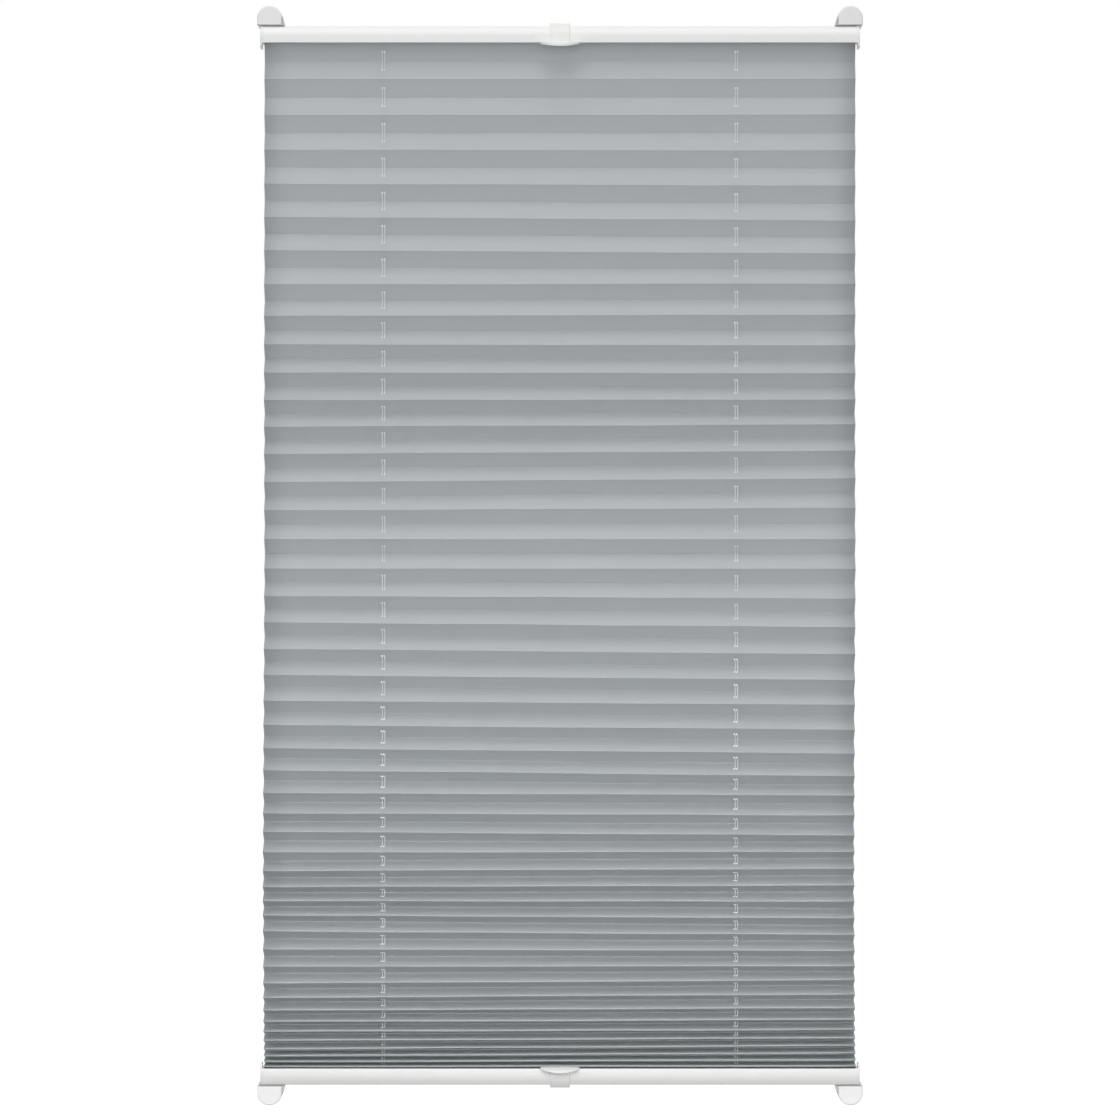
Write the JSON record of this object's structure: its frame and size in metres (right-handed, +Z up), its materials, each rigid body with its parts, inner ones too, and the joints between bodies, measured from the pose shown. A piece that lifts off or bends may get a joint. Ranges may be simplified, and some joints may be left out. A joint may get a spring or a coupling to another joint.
{
  "type": "pleated blind",
  "caption": "Tensioned pleated window blind: grey zigzag fabric between a white top and bottom rail that slide by hand on cords held in screwed corner shoes.",
  "frame": {"origin": "middle of the rectangle of four screw holes, on the back faces of the shoes, which lie on the window frame", "axes": "+Z up along the cords, +X across the blind to the right seen from the room, -Y toward the room"},
  "size_m": [0.758, 0.0459, 1.376],
  "materials": {
    "fabric": "cool grey crepe polyester, pleated",
    "rail": "white powder coat, satin",
    "strip": "mill finish",
    "cap": "moulded, satin white",
    "handle": "moulded, satin white",
    "cover": "moulded, satin light grey white",
    "shoe": "moulded, matt light grey",
    "guide": "moulded acetal, natural white",
    "cord": "braided polyester, light grey"
  },
  "bodies": {
    "window_side": {"pleated_fabric": "fabric", "left_outer_cord": "cord", "left_inner_cord": "cord", "right_outer_cord": "cord", "right_inner_cord": "cord", "shoe_base_top_left": "shoe", "shoe_base_top_right": "shoe", "shoe_base_bottom_left": "shoe", "shoe_base_bottom_right": "shoe", "shoe_cover_top_left": "cover", "shoe_cover_top_right": "cover", "shoe_cover_bottom_left": "cover", "shoe_cover_bottom_right": "cover", "cord_anchor_top_left": "guide", "cord_anchor_top_right": "guide", "cord_anchor_bottom_left": "guide", "cord_anchor_bottom_right": "guide"},
    "upper_rail": {"top_rail": "rail", "top_fabric_strip": "strip", "top_handle": "handle", "end_cap_top_left": "cap", "end_cap_top_right": "cap", "cord_guide_top_left": "guide", "cord_guide_top_right": "guide"},
    "lower_rail": {"bottom_rail": "rail", "bottom_fabric_strip": "strip", "bottom_handle": "handle", "end_cap_bottom_left": "cap", "end_cap_bottom_right": "cap", "cord_guide_bottom_left": "guide", "cord_guide_bottom_right": "guide"}
  },
  "joints": [
    {"name": "upper_rail_slide", "type": "slide", "parent": "window_side", "child": "upper_rail", "axis": [0, 0, -1], "range_m": [0, 0.6], "deforming": ["pleated_fabric", "left_outer_cord", "left_inner_cord", "right_outer_cord", "right_inner_cord"]},
    {"name": "lower_rail_slide", "type": "slide", "parent": "window_side", "child": "lower_rail", "axis": [0, 0, 1], "range_m": [0, 0.6], "deforming": ["pleated_fabric", "left_outer_cord", "left_inner_cord", "right_outer_cord", "right_inner_cord"]}
  ]
}
